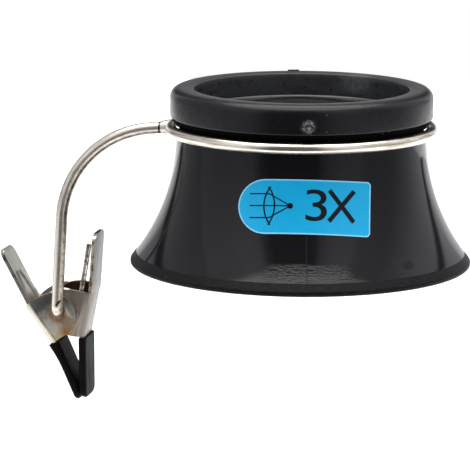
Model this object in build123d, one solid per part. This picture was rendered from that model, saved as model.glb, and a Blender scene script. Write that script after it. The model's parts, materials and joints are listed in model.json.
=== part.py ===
"""Clip-on eyeglass loupe: a flared eyecup with a lens, held in a wire ring on an arm with a sprung clip."""
import math
import os

from build123d import *

# Eyecup, one moulding: heights are above its eye end, radii about the optical axis
LIP_RADIUS = 20.0
BEAD_RADIUS = 0.72
CREASE_INSET = 0.7
NECK_RADIUS = 14.65
NECK_WALL = 2.05
SHOULDER_HEIGHT = 15.5
FLARE_WALL = 1.6
LIP_FACE = 0.75
LIP_EASE = 0.65
GROOVE_DEPTH = 0.35
GROOVE_HEIGHT = 1.1
COLLAR_OVERHANG = 0.7
COLLAR_FOOT_RISE = 1.0
COLLAR_FOOT_STEP = 0.6
COLLAR_HEIGHT = 3.3
RIM_ROUND = 0.6
RIM_EASE = 0.2

# Lens, its seat, and the split wire that holds it down
LENS_EDGE = 1.55
LENS_CURVE = 42.0
LENS_PLAY = 0.1
SEAT_WIDTH = 0.9
SEAT_THICKNESS = 1.35
SEAT_SLOPE = 0.4
RETAINER_WIRE = 0.7
RETAINER_INSET = 0.2
RETAINER_PLAY = 0.05
RETAINER_LIFT = 0.1
RETAINER_GAP_ANGLE = 14.0

# Magnification label, a thin sticker bent round the flare
LABEL_LENGTH = 14.9
LABEL_HEIGHT = 5.95
LABEL_RISE = 9.5
LABEL_THICKNESS = 0.1
LABEL_CORNER = 0.45
LABEL_DROOP = 0.45
LABEL_AZIMUTH = -78.5
LABEL_TILT = -1.2

# Closed wire ring that the eyecup turns in, and the arm soldered to it
RING_WIRE = 1.3
RING_PLAY = 0.3
RING_LIFT = 0.5
ARM_WIRE = 1.4
ARM_REACH = 29.6
ARM_DROP = 23.4
ARM_ROOT_DROP = 0.4
ARM_ROOT_GAP = 0.06
ARM_ROOT_SLOPE = 6.0
ARM_LEAN = 3.2
ARM_BEND = 12.0
SOLDER_REACH = 1.5
SOLDER_FLARE = 0.25
SOLDER_SKIN = 0.06
PEEN_RADIUS = 1.05
PEEN_THICKNESS = 0.5
PEEN_ROUND = 0.3
PEEN_PLAY = 0.12

# Clip halves of bent sheet, drawn as the right-hand one with its jaw down and the pin at the origin
SHEET = 0.45
CLIP_WIDTH = 7.2
EAR_PLAY = 0.08
PIN_PLAY = 0.05
ARM_SIDE_GAP = 0.15
JAW_OFFSET = 2.52
KNEE_DROP = 3.35
SHOULDER_OFFSET = 3.6
SHOULDER_RISE = 1.95
HANDLE_TIP_OFFSET = 4.17
HANDLE_RISE = 9.25
HANDLE_WIDTH = 4.5
HANDLE_CORNER = 1.1
BLADE_LENGTH = 6.5
BLADE_WIDTH = 4.5
BLADE_CORNER = 0.9
OUTER_FOLD = 0.75
INNER_FOLD = 1.3
EAR_TOP = 2.35
EAR_CROWN = 0.3
EAR_REACH = 1.85
EAR_REACH_DROP = 0.3
EAR_FOOT_DROP = 3.0
EAR_FOOT_OFFSET = 0.2
CLIP_LEAN = 12.1

# Rubber sleeves on the jaws
SLEEVE_WALL = 0.22
SLEEVE_SLACK = 0.03
SLEEVE_START = 0.2
SLEEVE_OVERHANG = 1.25
SLEEVE_EDGE = 0.4
SLEEVE_CORNER = 1.2
TIP_TAPER = 0.35
TIP_TAPER_LENGTH = 1.5
JAW_GAP = 0.12

# Torsion spring round the pin, with a straight leg on each handle
SPRING_WIRE = 0.6
COIL_RADIUS = 2.1
COIL_PITCH = 1.1
COIL_TURNS = 1
SPRING_SIDE_GAP = 0.25
LEG_SEAT_GAP = 0.05
RIGHT_LEG_SEAT = 6.0
LEFT_LEG_SEAT = 4.2

# Points per wire diameter at which the spring's gap to itself is measured
POINTS_PER_WIRE = 4

# One overrun serves all cuts
OVERRUN = 6.0

# Sizes of the eyecup that follow from those above
CREASE_RADIUS = LIP_RADIUS - CREASE_INSET
CREASE_HEIGHT = BEAD_RADIUS + math.sqrt(BEAD_RADIUS**2 - (BEAD_RADIUS - CREASE_INSET) ** 2)
FLARE_FALL = SHOULDER_HEIGHT - CREASE_HEIGHT
FLARE_SPREAD = CREASE_RADIUS - NECK_RADIUS
FLARE_RADIUS = (FLARE_FALL**2 + FLARE_SPREAD**2) / (2 * FLARE_SPREAD)
GROOVE_RADIUS = NECK_RADIUS - GROOVE_DEPTH
GROOVE_TOP = SHOULDER_HEIGHT + GROOVE_HEIGHT
COLLAR_RADIUS = NECK_RADIUS + COLLAR_OVERHANG
COLLAR_FOOT = GROOVE_TOP + COLLAR_FOOT_RISE
COLLAR_TOP = COLLAR_FOOT + COLLAR_HEIGHT
BORE_RADIUS = NECK_RADIUS - NECK_WALL
LENS_RADIUS = BORE_RADIUS - LENS_PLAY
SEAT_HEIGHT = SHOULDER_HEIGHT + GROOVE_DEPTH
LENS_EDGE_HEIGHT = SEAT_HEIGHT + LENS_EDGE
RETAINER_RADIUS = BORE_RADIUS - RETAINER_INSET
RETAINER_HEIGHT = LENS_EDGE_HEIGHT + RETAINER_WIRE / 2 + RETAINER_LIFT
RING_RADIUS = GROOVE_RADIUS + RING_PLAY + RING_WIRE / 2
RING_HEIGHT = SHOULDER_HEIGHT + RING_LIFT

# Clip angles: the jaws close until the sleeves all but meet where their tips begin to taper
SLEEVE_THICKNESS = SHEET + 2 * (SLEEVE_SLACK + SLEEVE_WALL)
SLEEVE_WIDTH = BLADE_WIDTH + 2 * (SLEEVE_SLACK + SLEEVE_WALL)
BLADE_TIP = KNEE_DROP + BLADE_LENGTH
SLEEVE_TIP = BLADE_TIP + SLEEVE_OVERHANG
JAW_FACE = JAW_OFFSET - SLEEVE_THICKNESS / 2
GRIP_DROP = SLEEVE_TIP - TIP_TAPER_LENGTH
CLOSING = math.degrees(
    math.atan2(JAW_FACE, GRIP_DROP) - math.asin(JAW_GAP / 2 / math.hypot(JAW_FACE, GRIP_DROP))
)
INNER_WIDTH = CLIP_WIDTH - 2 * (SHEET + EAR_PLAY)

# Places in the part's frame, whose origin lies between the jaw tips where they grip
PIN_X = -GRIP_DROP * math.sin(math.radians(CLIP_LEAN))
PIN_Z = GRIP_DROP * math.cos(math.radians(CLIP_LEAN))
ARM_Y = -(CLIP_WIDTH / 2 + ARM_SIDE_GAP + ARM_WIRE / 2)
AXIS_X = PIN_X + ARM_REACH
RING_Z = PIN_Z + ARM_DROP
CUP = Location((AXIS_X, ARM_Y, RING_Z - RING_HEIGHT))
CLIP = Location((PIN_X, 0, PIN_Z)) * Rotation(0, -CLIP_LEAN, 0)


def turned(outline, arc=360):
    """A solid turned about the optical axis from a closed outline of radii and heights."""
    return revolve(Plane.XZ * make_face(outline), Axis.Z, revolution_arc=arc)


def flare_radius(height, offset=0.0):
    """Radius of the flare at a height; offset moves the surface inwards, across the wall."""
    centre = NECK_RADIUS + FLARE_RADIUS
    return centre - math.sqrt((FLARE_RADIUS + offset) ** 2 - (SHOULDER_HEIGHT - height) ** 2)


def flare_arc(start, end, offset=0.0):
    """The flare's curve from one height to another."""
    heights = (start, (start + end) / 2, end)
    return ThreePointArc(*[(flare_radius(height, offset), height) for height in heights])


def dome_height(radius):
    """Height of the lens's curved face at a radius."""
    edge_sag = LENS_CURVE - math.sqrt(LENS_CURVE**2 - LENS_RADIUS**2)
    return LENS_EDGE_HEIGHT + edge_sag - LENS_CURVE + math.sqrt(LENS_CURVE**2 - radius**2)


def loupe_body():
    """Collar, wire groove, concave flare and beaded lip, with the lens bore and the hollow eye end."""
    bead_inner = LIP_RADIUS - BEAD_RADIUS
    lip_inner = flare_radius(LIP_EASE, FLARE_WALL)
    ledge = SEAT_HEIGHT - SEAT_THICKNESS
    aperture = BORE_RADIUS - SEAT_WIDTH
    notch = RETAINER_WIRE / 2 + RETAINER_PLAY
    notch_half = math.sqrt(notch**2 - RETAINER_INSET**2)
    bead = ThreePointArc((CREASE_RADIUS, CREASE_HEIGHT), (LIP_RADIUS, BEAD_RADIUS), (bead_inner, 0))
    eye_end = Polyline((bead_inner, 0), (lip_inner + LIP_FACE, 0), (lip_inner, LIP_EASE))
    hollow = flare_arc(LIP_EASE, ledge, FLARE_WALL)
    seat = Polyline(
        (flare_radius(ledge, FLARE_WALL), ledge),
        (aperture, ledge + SEAT_SLOPE),
        (aperture, SEAT_HEIGHT),
        (BORE_RADIUS, SEAT_HEIGHT),
        (BORE_RADIUS, RETAINER_HEIGHT - notch_half),
    )
    retainer_notch = ThreePointArc(
        (BORE_RADIUS, RETAINER_HEIGHT - notch_half),
        (RETAINER_RADIUS + notch, RETAINER_HEIGHT),
        (BORE_RADIUS, RETAINER_HEIGHT + notch_half),
    )
    collar = FilletPolyline(
        (BORE_RADIUS, RETAINER_HEIGHT + notch_half),
        (BORE_RADIUS, COLLAR_TOP - RIM_EASE),
        (BORE_RADIUS + RIM_EASE, COLLAR_TOP),
        (COLLAR_RADIUS, COLLAR_TOP),
        (COLLAR_RADIUS, COLLAR_FOOT),
        (COLLAR_RADIUS - COLLAR_FOOT_STEP, GROOVE_TOP),
        (GROOVE_RADIUS, GROOVE_TOP),
        (GROOVE_RADIUS, SHOULDER_HEIGHT),
        (NECK_RADIUS, SHOULDER_HEIGHT),
        radius=[0, 0, RIM_ROUND, RIM_ROUND, 0, 0, 0],
    )
    flare = flare_arc(SHOULDER_HEIGHT, CREASE_HEIGHT)
    return turned([bead, eye_end, hollow, seat, retainer_notch, collar, flare])


def lens():
    """Plano-convex glass, flat side down on its seat."""
    rim = Polyline((0, SEAT_HEIGHT), (LENS_RADIUS, SEAT_HEIGHT), (LENS_RADIUS, LENS_EDGE_HEIGHT))
    dome = ThreePointArc(*[(r, dome_height(r)) for r in (LENS_RADIUS, LENS_RADIUS / 2, 0)])
    axis = Line((0, dome_height(0)), (0, SEAT_HEIGHT))
    return turned([rim, dome, axis])


def lens_retainer():
    """Split ring of spring wire, snapped into a notch of the bore above the lens's edge."""
    section = Pos(RETAINER_RADIUS, RETAINER_HEIGHT) * Circle(RETAINER_WIRE / 2)
    ring = revolve(Plane.XZ * section, Axis.Z, revolution_arc=360 - RETAINER_GAP_ANGLE)
    return Rotation(0, 0, LABEL_AZIMUTH + RETAINER_GAP_ANGLE / 2) * ring


def droop(place):
    """How far a straight edge of the sticker falls where it wraps round the widening flare."""
    return LABEL_DROOP * (2 * place / LABEL_LENGTH) ** 2


def label_edge(height, start, end):
    """A long edge of the sticker, seen from the front."""
    places = (start, (start + end) / 2, end)
    return ThreePointArc(*[(place, height - droop(place)) for place in places])


def magnification_label():
    """Sticker with one round and one square end, as thick all over as its sheet."""
    half, end = LABEL_HEIGHT / 2, LABEL_LENGTH / 2
    round_start = half - end
    top = label_edge(half, round_start, end)
    bottom = label_edge(-half, round_start, end)
    square_end = Line((end, half - droop(end)), (end, -half - droop(end)))
    round_end = ThreePointArc(
        (round_start, half - droop(round_start)),
        (-end, -droop(-end)),
        (round_start, -half - droop(round_start)),
    )
    face = make_face([top, square_end, bottom, round_end])
    face = fillet(face.vertices().sort_by(Axis.X)[-2:], LABEL_CORNER)
    azimuth = math.radians(LABEL_AZIMUTH)
    outward = (math.cos(azimuth), math.sin(azimuth), 0)
    across = (-math.sin(azimuth), math.cos(azimuth), 0)
    front = Plane(origin=(0, 0, LABEL_RISE), x_dir=across, z_dir=outward)
    column = extrude(front * Rot(0, 0, LABEL_TILT) * face, amount=LIP_RADIUS)
    low, high = LABEL_RISE - LABEL_HEIGHT, LABEL_RISE + LABEL_HEIGHT
    skin = turned([
        flare_arc(low, high),
        Line((flare_radius(high), high), (flare_radius(high, -LABEL_THICKNESS), high)),
        flare_arc(high, low, -LABEL_THICKNESS),
        Line((flare_radius(low, -LABEL_THICKNESS), low), (flare_radius(low), low)),
    ])
    return skin & column


def wire_ring():
    """Closed ring of plated wire, loose in the groove of the eyecup."""
    return Pos(0, 0, RING_HEIGHT) * Torus(RING_RADIUS, RING_WIRE / 2)


def arm_points():
    """The arm's corners: its root at the ring, its great bend, the foot of the bend and the pin's end."""
    slope, lean = math.radians(ARM_ROOT_SLOPE), math.radians(ARM_LEAN)
    root = Vector(AXIS_X - RING_RADIUS - RING_WIRE / 2 - ARM_ROOT_GAP, ARM_Y, RING_Z - ARM_ROOT_DROP)
    foot = Vector(PIN_X, ARM_Y, PIN_Z)
    across, rise = root.X - foot.X, root.Z - foot.Z
    upright = (rise * math.cos(slope) - across * math.sin(slope)) / math.cos(lean + slope)
    corner = foot + Vector(math.sin(lean), 0, math.cos(lean)) * upright
    pin_end = Vector(PIN_X, CLIP_WIDTH / 2 + PEEN_PLAY + PEEN_THICKNESS / 2, PIN_Z)
    return root, corner, foot, pin_end


def great_bend(root, corner, foot):
    """Radius of the arm's bend, which ends short of the solder even where the arm has little reach."""
    turn = math.radians((corner - root).get_angle(foot - corner))
    room = (corner - root).length - SOLDER_REACH / 2
    return min(ARM_BEND, room / math.tan(turn / 2))


def arm_wire():
    """Bent wire: out from the ring, down beside the clip, then square through its ears as the pivot pin."""
    root, corner, foot, pin_end = arm_points()
    bends = [great_bend(root, corner, foot), ARM_WIRE / 2 + ARM_SIDE_GAP]
    path = FilletPolyline(root, corner, foot, pin_end, radius=bends)
    wire = sweep(Plane(origin=root, z_dir=corner - root) * Circle(ARM_WIRE / 2), path)
    head = Cylinder(PEEN_RADIUS, PEEN_THICKNESS, align=(Align.CENTER, Align.CENTER, Align.MIN))
    head = fillet(head.edges().sort_by(Axis.Z)[-1], PEEN_ROUND)
    seat = Plane(origin=(PIN_X, CLIP_WIDTH / 2 + PEEN_PLAY, PIN_Z), z_dir=(0, 1, 0))
    return wire + seat * head


def solder_joint(ring, arm):
    """Cone of solder that wraps the ring's outer side and the arm's end."""
    root, corner, _, _ = arm_points()
    along = (corner - root).normalized()
    start = root - along * (RING_WIRE / 2 + ARM_ROOT_GAP)
    length = RING_WIRE / 2 + ARM_ROOT_GAP + SOLDER_REACH / 2
    cone = Cone(
        ARM_WIRE / 2 + SOLDER_FLARE,
        ARM_WIRE / 2 + SOLDER_SKIN,
        length,
        align=(Align.CENTER, Align.CENTER, Align.MIN),
    )
    return Plane(origin=start, z_dir=along) * cone - ring - arm


def upright_plate(outline, width):
    """A plate whose outline lies in the clip's plane, equally thick to both sides of it."""
    return extrude(Plane.XZ * make_face(outline), amount=width / 2, both=True)


def at(place):
    """A place of the clip's plane as a pair: across and up."""
    return place.X, place.Y


def folded(block, place, width, radius):
    """Rounds a block's two long edges that pass a place of its outline: the folds between web and ears."""
    middles = [Vector(place.X, side * width / 2, place.Y) for side in (-1, 1)]
    edges = [min(block.edges(), key=lambda edge: (edge.center() - middle).length) for middle in middles]
    return fillet(edges, radius)


def sheet_strip(ear_width, fold):
    """Handle, web and jaw blade as one bent strip, narrowed where the ears fold out of it."""
    line = Polyline(
        (HANDLE_TIP_OFFSET, HANDLE_RISE),
        (SHOULDER_OFFSET, SHOULDER_RISE),
        (JAW_OFFSET, -KNEE_DROP),
        (JAW_OFFSET, -BLADE_TIP),
    )
    strip = extrude(Plane.XZ * trace(line, line_width=SHEET), amount=CLIP_WIDTH / 2, both=True)
    handle, web, blade = HANDLE_WIDTH / 2, ear_width / 2 - fold, BLADE_WIDTH / 2
    right = [
        (handle, HANDLE_RISE),
        (handle, SHOULDER_RISE),
        (web, SHOULDER_RISE),
        (web, -KNEE_DROP),
        (blade, -KNEE_DROP),
        (blade, -BLADE_TIP),
    ]
    left = [(-across, height) for across, height in reversed(right)]
    corners = [HANDLE_CORNER, 0, 0, 0, 0, BLADE_CORNER]
    outline = FilletPolyline(*right, *left, radius=corners + corners[::-1], close=True)
    return strip & extrude(Plane.YZ * make_face(outline), amount=CLIP_WIDTH)


def clip_half(ear_width, fold):
    """One half of the clip: a strip whose middle is a channel with two ears round the pin."""
    knee, shoulder = Vector(JAW_OFFSET, -KNEE_DROP), Vector(SHOULDER_OFFSET, SHOULDER_RISE)
    along = (shoulder - knee).normalized()
    out = Vector(along.Y, -along.X) * (SHEET / 2)
    top, foot = (0, EAR_TOP), (EAR_FOOT_OFFSET, -EAR_FOOT_DROP)
    crown = ((shoulder + out).X / 2, (SHOULDER_RISE + EAR_TOP) / 2 + EAR_CROWN)
    ear_line = [
        Polyline(foot, at(knee + out), at(shoulder + out)),
        ThreePointArc(at(shoulder + out), crown, top),
        ThreePointArc(top, (-EAR_REACH, -EAR_REACH_DROP), foot),
    ]
    middle = (knee + shoulder) / 2
    block = folded(upright_plate(ear_line, ear_width), middle + out, ear_width, fold)
    low, high = knee - out - along * OVERRUN, shoulder - out + along * OVERRUN
    hollow_line = Polyline(at(low), at(high), (-OVERRUN, high.Y), (-OVERRUN, low.Y), close=True)
    inner_width = ear_width - 2 * SHEET
    hollow = upright_plate(hollow_line, inner_width)
    hollow = folded(hollow, (low + high) / 2, inner_width, fold - SHEET)
    hole = Rotation(90, 0, 0) * Cylinder(ARM_WIRE / 2 + PIN_PLAY, ear_width + OVERRUN)
    return sheet_strip(ear_width, fold) + (block - hollow) - hole


def jaw_sleeve():
    """Rubber cap pushed on the jaw blade, with rounded tip corners and a gripping face that tapers off."""
    height = SLEEVE_TIP - KNEE_DROP - SLEEVE_START
    section = RectangleRounded(SLEEVE_THICKNESS, SLEEVE_WIDTH, SLEEVE_EDGE)
    sleeve = Pos(JAW_OFFSET, 0, -SLEEVE_TIP) * extrude(section, amount=height)
    edge = SLEEVE_WIDTH / 2
    front = FilletPolyline(
        (-edge, 0), (-edge, -SLEEVE_TIP), (edge, -SLEEVE_TIP), (edge, 0),
        radius=[0, SLEEVE_CORNER, SLEEVE_CORNER, 0], close=True,
    )
    sleeve = sleeve & extrude(Plane.YZ * make_face(front), amount=CLIP_WIDTH)
    slot = Box(
        SHEET + 2 * SLEEVE_SLACK,
        BLADE_WIDTH + 2 * SLEEVE_SLACK,
        BLADE_TIP + SLEEVE_SLACK,
        align=(Align.CENTER, Align.CENTER, Align.MAX),
    )
    taper = Polyline(
        (JAW_FACE, -GRIP_DROP), (JAW_FACE + TIP_TAPER, -SLEEVE_TIP), (JAW_FACE, -SLEEVE_TIP), close=True
    )
    return sleeve - Pos(JAW_OFFSET, 0, 0) * slot - upright_plate(taper, CLIP_WIDTH)


def leg_seat(distance):
    """Where a spring leg's tip lies on the closed right handle, as (across, up) in the clip's own frame."""
    shoulder, tip = Vector(SHOULDER_OFFSET, SHOULDER_RISE), Vector(HANDLE_TIP_OFFSET, HANDLE_RISE)
    along = (tip - shoulder).normalized()
    inward = Vector(-along.Y, along.X) * (SHEET / 2 + LEG_SEAT_GAP + SPRING_WIRE / 2)
    return (shoulder + along * distance + inward).rotate(Axis.Z, -CLOSING)


def leg_angle(seat):
    """Angle on the coil where a straight leg to its seat leaves it."""
    return math.atan2(seat.Y, seat.X) - math.acos(COIL_RADIUS / seat.length)


def biarc(start, start_way, end, end_way):
    """Two arcs that join smoothly and leave and reach their ends in the given directions."""
    span, ways = end - start, start_way + end_way
    bend = 2 * (1 - start_way.dot(end_way))
    reach = (math.sqrt(span.dot(ways) ** 2 + bend * span.dot(span)) - span.dot(ways)) / bend
    first, second = start + start_way * reach, end - end_way * reach
    middle, middle_way = (first + second) / 2, second - first
    return [TangentArc(start, middle, tangent=start_way), TangentArc(middle, end, tangent=middle_way)]


def torsion_spring():
    """Coil round the pin, wound back from the right handle's leg to the left one's, in the clip's own frame."""
    right, left = leg_seat(RIGHT_LEG_SEAT), leg_seat(LEFT_LEG_SEAT)
    start = leg_angle(right)
    winding = start - (math.pi - leg_angle(left)) + math.tau * (COIL_TURNS + 1)
    count = round(winding / (math.tau / 4))
    step = winding / count
    front = SPRING_SIDE_GAP + SPRING_WIRE / 2 + SHEET - INNER_WIDTH / 2
    knots = []
    for index in range(count + 1):
        angle = start - index * step
        across, up = math.cos(angle), math.sin(angle)
        rear = front + COIL_PITCH * index * step / math.tau
        advance = 0 if index in (0, count) else COIL_PITCH / math.tau
        place = Vector(COIL_RADIUS * across, rear, COIL_RADIUS * up)
        knots.append((place, Vector(COIL_RADIUS * up, advance, -COIL_RADIUS * across).normalized()))
    (first, _), (last, _) = knots[0], knots[-1]
    right_tip, left_tip = Vector(right.X, first.Y, right.Y), Vector(-left.X, last.Y, left.Y)
    edges = [Line(right_tip, first)]
    for (here, way), (there, next_way) in zip(knots, knots[1:]):
        edges += biarc(here, way, there, next_way)
    edges.append(Line(last, left_tip))
    path = Wire(edges)
    print("spring: least gap between its turns", round(least_gap(path), 3), "mm")
    return sweep(Plane(origin=right_tip, z_dir=first - right_tip) * Circle(SPRING_WIRE / 2), path)


def least_gap(path):
    """Least clear distance between stretches of the spring that are at least half a turn apart."""
    count = math.ceil(path.length / SPRING_WIRE) * POINTS_PER_WIRE
    points = [path.position_at(index / count) for index in range(count + 1)]
    apart = math.ceil(count * math.pi * COIL_RADIUS / path.length)
    distances = [
        (points[here] - points[there]).length
        for here in range(count + 1)
        for there in range(here + apart, count + 1)
    ]
    return min(distances) - SPRING_WIRE


def swung(shape, angle):
    """A part of the clip turned about the pin; a positive angle swings its jaw to the right."""
    return CLIP * Rotation(0, -angle, 0) * shape


def build():
    """Every piece in its place, by the name of its node."""
    ring, arm = CUP * wire_ring(), arm_wire()
    sleeve = jaw_sleeve()
    outer = mirror(clip_half(CLIP_WIDTH, OUTER_FOLD), about=Plane.YZ)
    return {
        "loupe_body": CUP * loupe_body(),
        "lens": CUP * lens(),
        "lens_retainer": CUP * lens_retainer(),
        "magnification_label": CUP * magnification_label(),
        "wire_ring": ring,
        "solder_joint": solder_joint(ring, arm),
        "arm_wire": arm,
        "outer_clip_half": swung(outer, CLOSING),
        "inner_clip_half": swung(clip_half(INNER_WIDTH, INNER_FOLD), -CLOSING),
        "outer_jaw_sleeve": swung(mirror(sleeve, about=Plane.YZ), CLOSING),
        "inner_jaw_sleeve": swung(sleeve, -CLOSING),
        "torsion_spring": swung(torsion_spring(), 0),
    }


os.makedirs("parts", exist_ok=True)
for name, shape in build().items():
    export_step(shape, f"parts/{name}.step")
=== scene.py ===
import json
import math

import bpy
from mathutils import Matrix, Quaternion, Vector


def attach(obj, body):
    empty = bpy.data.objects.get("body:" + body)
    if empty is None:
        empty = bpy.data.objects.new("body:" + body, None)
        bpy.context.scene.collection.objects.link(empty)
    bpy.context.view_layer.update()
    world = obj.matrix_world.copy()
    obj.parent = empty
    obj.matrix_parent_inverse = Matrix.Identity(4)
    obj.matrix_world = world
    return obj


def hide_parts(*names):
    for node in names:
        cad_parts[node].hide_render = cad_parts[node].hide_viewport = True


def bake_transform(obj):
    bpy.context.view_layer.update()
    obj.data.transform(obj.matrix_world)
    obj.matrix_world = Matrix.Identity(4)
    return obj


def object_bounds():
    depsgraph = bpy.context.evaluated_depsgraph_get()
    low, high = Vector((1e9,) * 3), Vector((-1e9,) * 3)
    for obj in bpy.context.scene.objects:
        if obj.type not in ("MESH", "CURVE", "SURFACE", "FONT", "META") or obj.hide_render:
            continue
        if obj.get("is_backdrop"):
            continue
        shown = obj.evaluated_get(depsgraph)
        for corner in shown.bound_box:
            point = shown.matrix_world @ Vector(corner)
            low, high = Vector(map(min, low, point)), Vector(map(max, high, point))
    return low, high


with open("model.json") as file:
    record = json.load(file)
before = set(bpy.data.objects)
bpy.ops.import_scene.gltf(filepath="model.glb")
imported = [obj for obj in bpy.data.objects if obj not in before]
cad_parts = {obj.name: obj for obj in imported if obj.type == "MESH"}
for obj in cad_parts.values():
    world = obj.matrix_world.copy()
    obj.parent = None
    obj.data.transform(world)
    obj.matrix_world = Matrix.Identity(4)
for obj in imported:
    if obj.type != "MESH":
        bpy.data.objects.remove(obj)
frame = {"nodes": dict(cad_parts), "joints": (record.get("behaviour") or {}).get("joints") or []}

cad_low, cad_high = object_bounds()
joint_places = {joint["name"]: Vector(joint["pos_m"]) for joint in frame["joints"]}
PIN = joint_places["arm_swivel"]
RING_CENTRE = joint_places["ring_swivel"]


# The eyecup is one compression-moulded piece of black thermoset: a plain collar, a groove for the wire
# ring, and a concave flare that ends in a beaded lip for the eye socket. The mould left the flare
# glossy, the collar satin, a gate mark on the collar and a faint parting line down the front.
EYE_END = RING_CENTRE.z - 0.0160
LIP_RADIUS = 0.0200
LIP_ROUND = 0.0005
LIP_EDGE = 0.00055
LIP_FACE = 0.00075
LIP_INSIDE = LIP_RADIUS - 2.2 * LIP_FACE
LIP_RISE = 0.0002
CREASE_RADIUS = 0.0193
CREASE_HEIGHT = 0.00144
NECK_RADIUS = 0.01465
SHOULDER_HEIGHT = 0.0155
GROOVE_RADIUS = 0.0143
GROOVE_TOP = 0.0166
COLLAR_RADIUS = 0.01535
COLLAR_FOOT = 0.0176
COLLAR_SLANT = 0.0006
COLLAR_TOP = 0.0209
SLANT_ROUND = 0.00012
RIM_ROUND = 0.0011
RIM_EASE = 0.00018
RIM_FALL = 0.00012
EDGE_ROUND = 0.00008
WALL = 0.0016
INNER_FOOT = 0.00065
BORE_RADIUS = 0.0126
APERTURE_RADIUS = 0.0117
SEAT_HEIGHT = 0.01585
LEDGE_HEIGHT = 0.0145
LEDGE_WALL = 0.0004
RETAINER_RADIUS = 0.0124
RETAINER_HEIGHT = 0.01785
RETAINER_WIRE = 0.0007
NOTCH_PLAY = 0.00005
FRONT_AZIMUTH = math.radians(-77.9)
GATE_AZIMUTH = math.radians(-77.3)
GATE_HEIGHT = 0.0185
GATE_RADIUS = 0.00072
GATE_SQUASH = (1, 1.15, 0.3)
GATE_TORN = 0.00013
FLASH_AZIMUTH = math.radians(103.8)
FLASH = (0.0004, 0.0014, 0.00014)
FLASH_OUT = 0.0001
FLASH_EASE = 0.00006


def deselect():
    """Leaves edit mode and clears the selection, so that the next operator acts on nothing else."""
    if bpy.context.object and bpy.context.object.mode != "OBJECT":
        bpy.ops.object.mode_set(mode="OBJECT")
    bpy.ops.object.select_all(action="DESELECT")


def open_whole():
    """Opens the active piece in edit mode with all of it selected."""
    bpy.ops.object.mode_set(mode="EDIT")
    bpy.ops.mesh.select_all(action="SELECT")


def choose(*objects):
    """Selects these objects alone, the last one active."""
    deselect()
    for one in objects:
        one.select_set(True)
        bpy.context.view_layer.objects.active = one
    return objects[-1]


def only(piece, kind, test):
    """Opens the piece in edit mode with just those vertices or faces selected that pass a test."""
    choose(piece)
    bpy.ops.object.mode_set(mode="EDIT")
    bpy.ops.mesh.select_mode(type=kind)
    bpy.ops.mesh.select_all(action="DESELECT")
    bpy.ops.object.mode_set(mode="OBJECT")
    if kind == "VERT":
        for vertex in piece.data.vertices:
            vertex.select = test(vertex.co)
    else:
        for face in piece.data.polygons:
            face.select = test(face.center, face.normal)
    bpy.ops.object.mode_set(mode="EDIT")


def modified(kind, **settings):
    """Gives the active piece a modifier with these settings and applies it."""
    bpy.ops.object.modifier_add(type=kind)
    modifier = bpy.context.object.modifiers[-1]
    for name, value in settings.items():
        setattr(modifier, name, value)
    bpy.ops.object.modifier_apply(modifier=modifier.name)


def rounded(corners, radii, steps=6):
    """A chain of 2-D or 3-D corners with its inner ones turned to arcs of the given radii."""
    points = [Vector(corners[0])]
    for before, corner, after, radius in zip(corners, corners[1:], corners[2:], radii):
        corner = Vector(corner)
        one, two = (Vector(before) - corner).normalized(), (Vector(after) - corner).normalized()
        half = one.angle(two) / 2
        centre = corner + (one + two).normalized() * (radius / math.sin(half))
        reach = radius / math.tan(half)
        start, end = one * reach + corner - centre, two * reach + corner - centre
        sweep = start.angle(end)
        for step in range(steps + 1):
            share = step / steps
            turn = (math.sin((1 - share) * sweep) * start + math.sin(share * sweep) * end) / math.sin(sweep)
            points.append(centre + turn)
    return points + [Vector(corners[-1])]


def on_axis(height):
    """The point of the optical axis at a height above the eye end."""
    return Vector((RING_CENTRE.x, RING_CENTRE.y, EYE_END + height))


def outward(azimuth):
    """The level direction away from the optical axis at an azimuth."""
    return Vector((math.cos(azimuth), math.sin(azimuth), 0))


def lathe(name, outline, closed=True, steps=256):
    """A solid drawn out ring by ring from an outline of radii and heights about the optical axis."""
    deselect()
    radius, height = outline[0]
    axis = on_axis(0.0)
    bpy.ops.mesh.primitive_circle_add(
        vertices=steps, radius=radius, fill_type="NOTHING" if closed else "NGON",
        location=axis + Vector((0, 0, height)),
    )
    made = bpy.context.object
    made.name = name
    open_whole()
    for next_radius, next_height in outline[1:]:
        bpy.ops.mesh.extrude_edges_move(TRANSFORM_OT_translate={"value": (0, 0, next_height - height)})
        wider = next_radius / radius
        bpy.ops.transform.resize(value=(wider, wider, 1), center_override=axis)
        radius, height = next_radius, next_height
    if not closed:
        bpy.ops.mesh.edge_face_add()
    bpy.ops.mesh.select_all(action="SELECT")
    bpy.ops.mesh.remove_doubles(threshold=1e-6)
    bpy.ops.mesh.normals_make_consistent(inside=False)
    bpy.ops.object.mode_set(mode="OBJECT")
    return made


def coat(piece, *materials):
    """Gives a piece these materials alone, one slot for each."""
    piece.data.materials.clear()
    for material in materials:
        piece.data.materials.append(material)


def coat_part(piece, slot, test):
    """Gives the material in that slot to the faces that pass a test of their place and their facing."""
    only(piece, "FACE", test)
    piece.active_material_index = slot
    bpy.ops.object.material_slot_assign()
    bpy.ops.object.mode_set(mode="OBJECT")


def smoothed(piece, angle):
    """Puts a finished piece's place into its mesh and shades it smooth up to an angle in degrees."""
    choose(piece)
    bpy.ops.object.transform_apply()
    bpy.ops.object.shade_smooth_by_angle(angle=math.radians(angle))


def settle(piece, body, nodes, angle=35):
    """Finishes a piece: it rides on its body and stands for its nodes."""
    smoothed(piece, angle)
    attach(piece, body)
    if nodes:
        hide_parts(*nodes)


def linear(text):
    """An sRGB hex colour as the linear colour that shaders take."""
    parts = [int(text[i:i + 2], 16) / 255 for i in (0, 2, 4)]
    return [p / 12.92 if p <= 0.04045 else ((p + 0.055) / 1.055) ** 2.4 for p in parts] + [1.0]


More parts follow.
